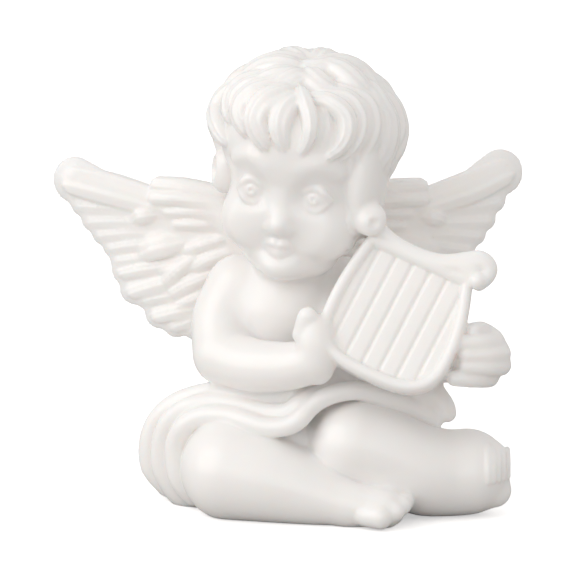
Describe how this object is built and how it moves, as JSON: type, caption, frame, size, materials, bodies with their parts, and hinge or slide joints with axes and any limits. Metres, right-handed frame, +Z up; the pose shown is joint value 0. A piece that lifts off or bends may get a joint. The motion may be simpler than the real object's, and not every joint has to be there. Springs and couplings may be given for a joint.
{
  "type": "angel figurine",
  "caption": "Seated winged cherub figurine holding a small lyre, one glazed white casting that rests on its own underside.",
  "frame": {"origin": "on the table, under the middle of the figurine's box", "axes": "-Y is the way the figure faces, +X is towards the lyre, +Z is up"},
  "size_m": [0.1005, 0.0558, 0.1006],
  "materials": {
    "porcelain": "glazed white porcelain"
  },
  "bodies": {
    "root": {"angel_figurine": "porcelain"}
  },
  "joints": []
}
